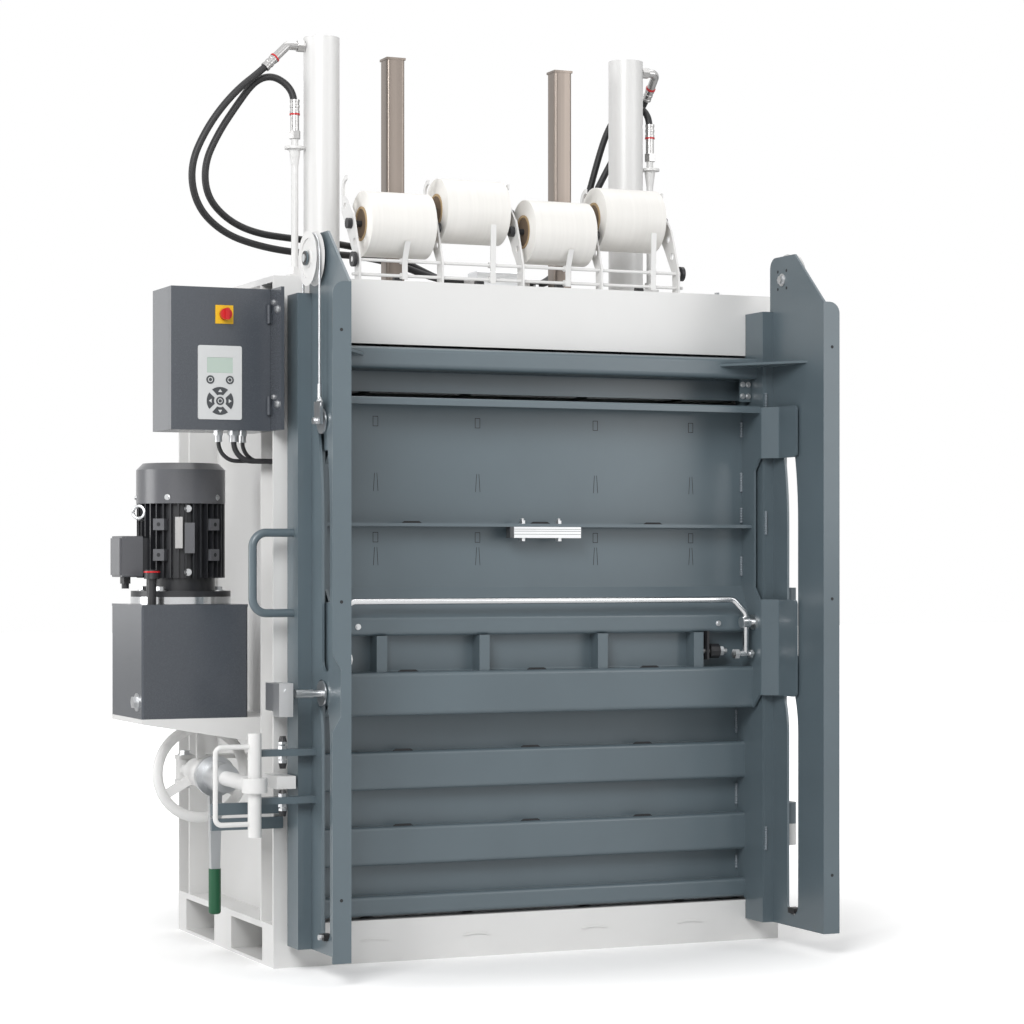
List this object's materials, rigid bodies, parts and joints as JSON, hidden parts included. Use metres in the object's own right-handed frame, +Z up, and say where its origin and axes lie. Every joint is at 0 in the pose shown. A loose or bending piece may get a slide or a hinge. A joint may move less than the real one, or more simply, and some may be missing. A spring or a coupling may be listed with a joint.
{
  "type": "recycling baler",
  "caption": "Upright hydraulic baling press with a hinged front door, a loading flap that slides down, a handwheel lock, strap rolls on top and a power unit on the left side.",
  "frame": {"origin": "on the floor, in the middle of the base footprint", "axes": "+Z up, +X to the right seen from the front, +Y to the back, the door faces -Y"},
  "size_m": [1.7052, 1.139, 2.305],
  "materials": {
    "white_paint": "satin",
    "grey_paint": "satin",
    "dark_paint": "satin",
    "deck_steel": "worn",
    "guide_steel": "satin",
    "bright_steel": "polished",
    "hose_rubber": "matte",
    "valve_metal": "satin",
    "motor_paint": "satin",
    "black_plastic": "matte",
    "strap_plastic": "satin",
    "green_plastic": "gloss",
    "red_plastic": "gloss"
  },
  "bodies": {
    "frame": {"base_frame": "white_paint", "floor_strips": "deck_steel", "side_frame_left": "white_paint", "side_frame_right": "white_paint", "rear_wall": "white_paint", "top_frame": "white_paint", "cylinders": "white_paint", "return_pipes": "white_paint", "hose_fittings": "bright_steel", "hose_head_left": "hose_rubber", "hose_rod_left": "hose_rubber", "hose_head_right": "hose_rubber", "hose_rod_right": "hose_rubber", "manifold_block": "valve_metal", "rack_brackets": "white_paint", "rack_rods": "white_paint", "roll_axles": "black_plastic", "cabinet_box": "dark_paint", "oil_tank": "dark_paint", "tank_tray": "white_paint", "motor_flange": "motor_paint", "motor_housing": "motor_paint", "fan_cowl": "black_plastic", "terminal_box": "black_plastic", "lock_anchor": "white_paint", "door_rest": "white_paint", "lock_support": "grey_paint", "hinge_brackets": "white_paint", "interlock_switch": "valve_metal"},
    "ram": {"press_platen": "dark_paint", "platen_pads": "deck_steel", "guide_tubes": "guide_steel", "piston_rods": "bright_steel"},
    "door": {"door_panel": "grey_paint", "door_stiles": "grey_paint", "door_top_rail": "grey_paint", "post_left": "grey_paint", "post_right": "grey_paint", "weight_boxes": "grey_paint", "door_handle": "grey_paint", "door_hinges": "grey_paint"},
    "pulleys": {"rope_pulleys": "strap_plastic"},
    "weights": {"counterweights": "deck_steel"},
    "flap": {"flap_panel": "grey_paint", "flap_ends": "grey_paint", "flap_pins": "bright_steel", "clamp_bar": "valve_metal", "rope_front": "bright_steel"},
    "bail": {"flap_handle": "bright_steel"},
    "cabinet_lid": {"cabinet_door": "dark_paint", "control_panel": "black_plastic"},
    "main_switch": {"switch_knob": "red_plastic"},
    "lock": {"lock_arm": "white_paint"},
    "wheel": {"handwheel": "white_paint"},
    "lever": {"ratchet_lever": "bright_steel", "lever_grip": "green_plastic"},
    "roll_1": {"strap_roll_1": "strap_plastic"},
    "roll_2": {"strap_roll_2": "strap_plastic"},
    "roll_3": {"strap_roll_3": "strap_plastic"},
    "roll_4": {"strap_roll_4": "strap_plastic"}
  },
  "joints": [
    {"name": "ram_stroke", "type": "slide", "parent": "frame", "child": "ram", "axis": [0, 0, 1], "range_m": [-0.57, 0]},
    {"name": "door_swing", "type": "hinge", "parent": "frame", "child": "door", "pos_m": [0.69, -0.438, 0.8], "axis": [0, 0, 1], "range_deg": [0, 115]},
    {"name": "flap_slide", "type": "slide", "parent": "door", "child": "flap", "axis": [0, 0, -1], "range_m": [0, 0.52], "deforming": ["rope_front"]},
    {"name": "weights_slide", "type": "slide", "parent": "door", "child": "weights", "axis": [0, 0, 1], "range_m": [0, 0.52]},
    {"name": "pulleys_turn", "type": "hinge", "parent": "door", "child": "pulleys", "pos_m": [0, -0.537, 1.683], "axis": [1, 0, 0], "range_deg": [0, 514]},
    {"name": "bail_tilt", "type": "hinge", "parent": "flap", "child": "bail", "pos_m": [0, -0.468, 0.818], "axis": [1, 0, 0], "range_deg": [0, 20]},
    {"name": "cabinet_door_swing", "type": "hinge", "parent": "frame", "child": "cabinet_lid", "pos_m": [-0.6985, -0.3985, 1.452], "axis": [0, 0, 1], "range_deg": [0, 75]},
    {"name": "main_switch_turn", "type": "hinge", "parent": "cabinet_lid", "child": "main_switch", "pos_m": [-0.808, -0.393, 1.557], "axis": [0, -1, 0], "range_deg": [0, 90]},
    {"name": "lock_swing", "type": "hinge", "parent": "frame", "child": "lock", "pos_m": [-0.781, 0.012, 0.452], "axis": [0, 0, -1], "range_deg": [-4.8, 70]},
    {"name": "handwheel_turn", "type": "hinge", "parent": "lock", "child": "wheel", "pos_m": [-0.781, -0.118, 0.452], "axis": [0, 1, 0], "continuous": true},
    {"name": "ratchet_turn", "type": "hinge", "parent": "lock", "child": "lever", "pos_m": [-0.781, -0.233, 0.452], "axis": [0, 1, 0], "range_deg": [-8, 100]},
    {"name": "roll_1_turn", "type": "hinge", "parent": "frame", "child": "roll_1", "pos_m": [-0.354, -0.329, 1.797], "axis": [1, 0, 0], "continuous": true},
    {"name": "roll_2_turn", "type": "hinge", "parent": "frame", "child": "roll_2", "pos_m": [-0.138, -0.283, 1.845], "axis": [1, 0, 0], "continuous": true},
    {"name": "roll_3_turn", "type": "hinge", "parent": "frame", "child": "roll_3", "pos_m": [0.078, -0.329, 1.797], "axis": [1, 0, 0], "continuous": true},
    {"name": "roll_4_turn", "type": "hinge", "parent": "frame", "child": "roll_4", "pos_m": [0.294, -0.283, 1.845], "axis": [1, 0, 0], "continuous": true}
  ],
  "couplings": [
    {"joint": "weights_slide", "follows": "flap_slide", "ratio": 1},
    {"joint": "pulleys_turn", "follows": "flap_slide", "rad_per_m": 17.241}
  ]
}
